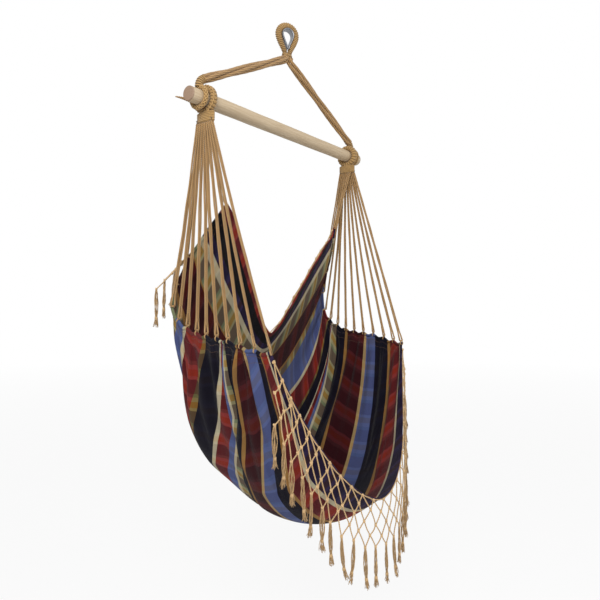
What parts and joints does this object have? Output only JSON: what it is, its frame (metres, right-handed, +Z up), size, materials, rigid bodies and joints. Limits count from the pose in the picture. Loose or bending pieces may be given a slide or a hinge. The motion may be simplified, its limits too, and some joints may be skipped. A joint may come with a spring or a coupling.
{
  "type": "hammock chair",
  "caption": "Hanging fabric seat on a wooden spreader bar, with a rope eye for a hook, fans of doubled cords and knotted fringes with tassels.",
  "frame": {"origin": "the point inside the top of the steel thimble that rests on the hook", "axes": "+Z up, X along the spreader bar, -Y the way the sitter faces"},
  "size_m": [0.9396, 0.6155, 1.8005],
  "materials": {
    "thimble_steel": "galvanised, dull",
    "served_rope": "cotton twine served over rope",
    "rope_strand": "twisted cotton rope",
    "seat_cord": "twisted cotton cord",
    "bar_wood": "bare sanded wood",
    "seat_cloth": "striped woven cotton",
    "fringe_cotton": "knotted cotton twine"
  },
  "bodies": {
    "harness": {"eye_thimble": "thimble_steel", "eye_serving": "served_rope", "throat_seizing": "served_rope", "left_arm_strand_1": "rope_strand", "left_arm_strand_2": "rope_strand", "left_arm_strand_3": "rope_strand", "left_arm_strand_4": "rope_strand", "left_harness_ring": "served_rope", "left_rope_tail": "rope_strand", "right_arm_strand_1": "rope_strand", "right_arm_strand_2": "rope_strand", "right_arm_strand_3": "rope_strand", "right_arm_strand_4": "rope_strand", "right_harness_ring": "served_rope", "right_rope_tail": "rope_strand"},
    "bar": {"spreader_bar": "bar_wood"},
    "seat": {"seat_cloth": "seat_cloth", "front_fringe": "fringe_cotton", "back_fringe": "fringe_cotton", "left_seat_ring": "served_rope", "left_seat_cord_1": "seat_cord", "left_seat_cord_2": "seat_cord", "left_seat_cord_3": "seat_cord", "left_seat_cord_4": "seat_cord", "left_seat_cord_5": "seat_cord", "left_seat_cord_6": "seat_cord", "left_seat_cord_7": "seat_cord", "left_seat_cord_8": "seat_cord", "left_seat_cord_9": "seat_cord", "left_seat_cord_10": "seat_cord", "left_seat_cord_11": "seat_cord", "left_seat_cord_12": "seat_cord", "left_seat_cord_13": "seat_cord", "left_seat_cord_14": "seat_cord", "left_end_hem": "seat_cloth", "right_seat_ring": "served_rope", "right_seat_cord_1": "seat_cord", "right_seat_cord_2": "seat_cord", "right_seat_cord_3": "seat_cord", "right_seat_cord_4": "seat_cord", "right_seat_cord_5": "seat_cord", "right_seat_cord_6": "seat_cord", "right_seat_cord_7": "seat_cord", "right_seat_cord_8": "seat_cord", "right_seat_cord_9": "seat_cord", "right_seat_cord_10": "seat_cord", "right_seat_cord_11": "seat_cord", "right_seat_cord_12": "seat_cord", "right_seat_cord_13": "seat_cord", "right_seat_cord_14": "seat_cord", "right_end_hem": "seat_cloth"}
  },
  "joints": [
    {"name": "seat_swing", "type": "hinge", "parent": "harness", "child": "seat", "pos_m": [0, 0, -0.355], "axis": [1, 0, 0], "range_deg": [-35, 35]},
    {"name": "bar_slide", "type": "slide", "parent": "harness", "child": "bar", "axis": [1, 0, 0], "range_m": [-0.03, 0.03]}
  ]
}
